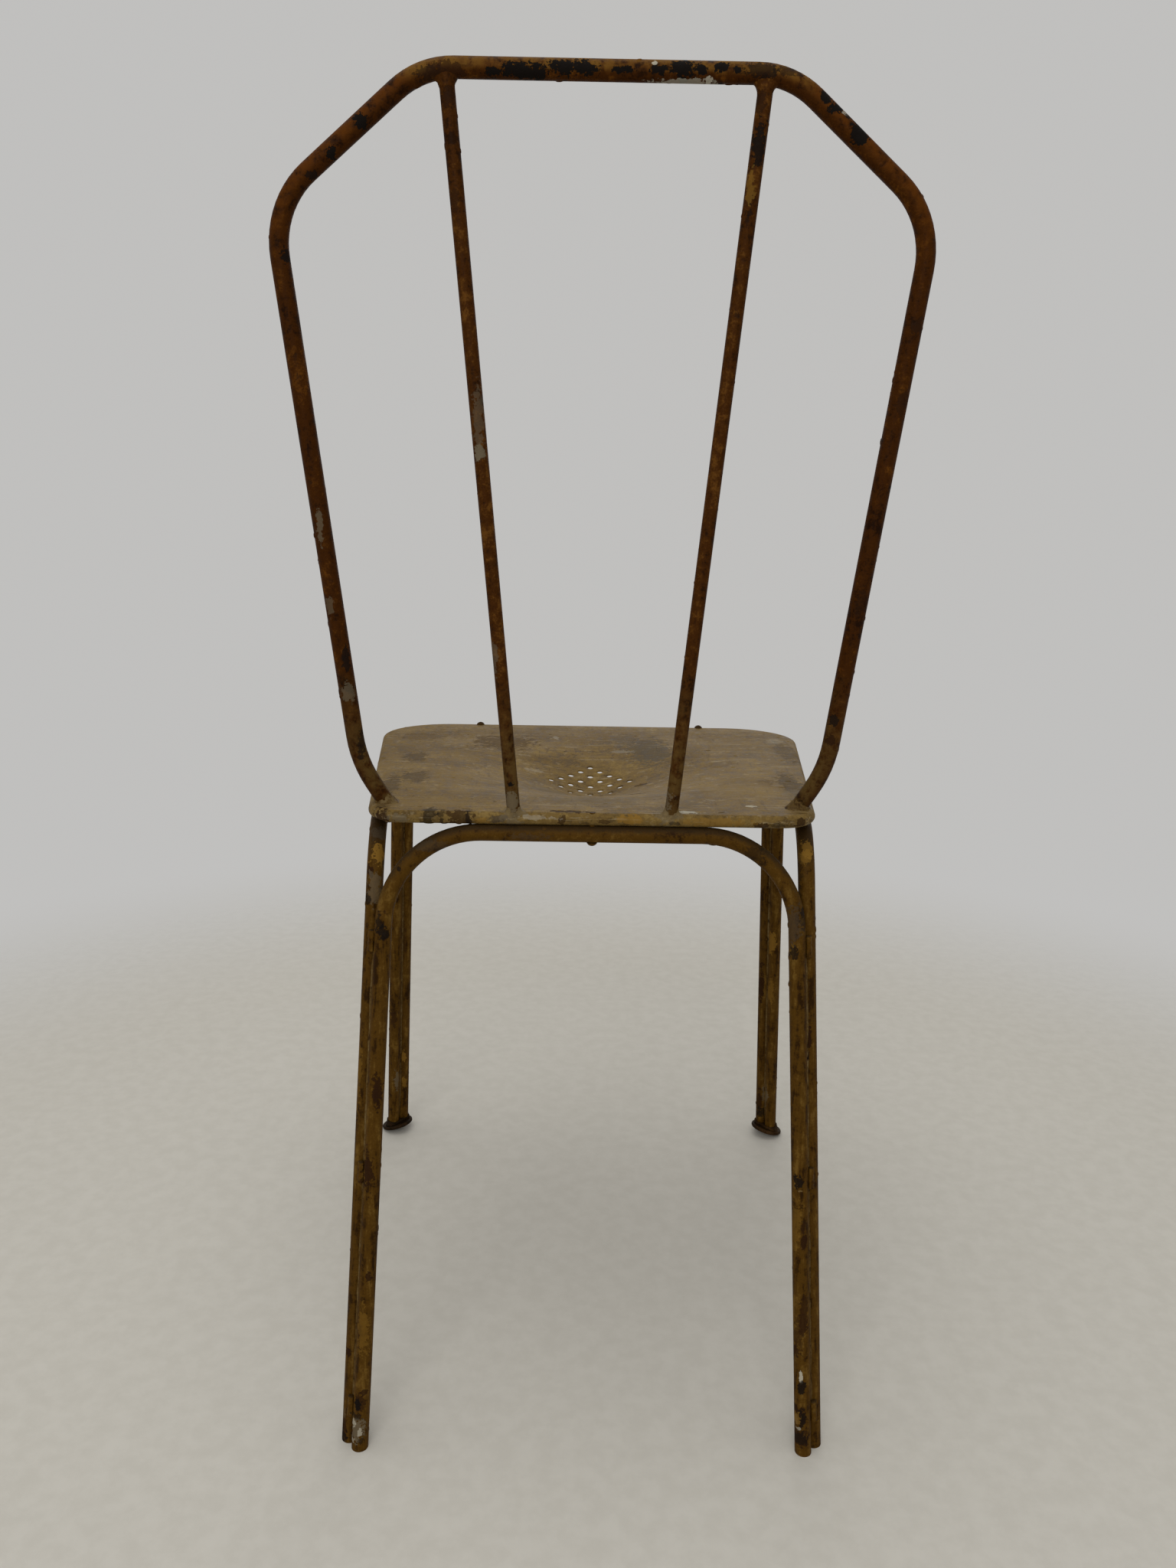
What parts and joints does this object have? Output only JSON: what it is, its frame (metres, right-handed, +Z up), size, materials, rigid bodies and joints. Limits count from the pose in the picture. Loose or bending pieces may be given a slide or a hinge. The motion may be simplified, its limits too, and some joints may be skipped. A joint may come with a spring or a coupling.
{
  "type": "garden chair",
  "caption": "Garden chair of bent steel tube: open hoop back with spindles, pressed seat pan with rolled rim and drain holes, splayed legs of paired tubes, weathered ochre paint",
  "frame": {"origin": "on the floor under the middle of the bounding box", "axes": "+Z up along the height, the sitter faces -Y and sits with the back hoop behind at +Y, +X is the sitter's left"},
  "size_m": [0.4408, 0.4874, 0.927],
  "materials": {
    "seat_paint": "worn beige ochre paint with brown and grey stains, scratches and rust chips",
    "back_paint": "old red-brown ochre paint, chipped to dark rust on the upper sides",
    "frame_paint": "old ochre brown paint with streaks, drips and dark rust spots",
    "glide_rust": "dark brown rust with traces of paint"
  },
  "bodies": {
    "root": {"seat_pan": "seat_paint", "back_hoop": "back_paint", "left_spindle": "back_paint", "right_spindle": "back_paint", "rear_arch": "frame_paint", "front_arch": "frame_paint", "left_side_hoop": "frame_paint", "right_side_hoop": "frame_paint", "front_left_glide": "glide_rust", "front_right_glide": "glide_rust", "rear_seat_rivet": "seat_paint", "front_seat_rivets": "seat_paint", "left_hoop_weld": "back_paint", "right_hoop_weld": "back_paint", "spindle_top_welds": "back_paint", "spindle_foot_welds": "back_paint", "rear_left_leg_welds": "frame_paint", "rear_right_leg_welds": "frame_paint", "front_left_leg_welds": "frame_paint", "front_right_leg_welds": "frame_paint", "left_rail_welds": "frame_paint", "right_rail_welds": "frame_paint", "glide_welds": "frame_paint"}
  },
  "joints": []
}
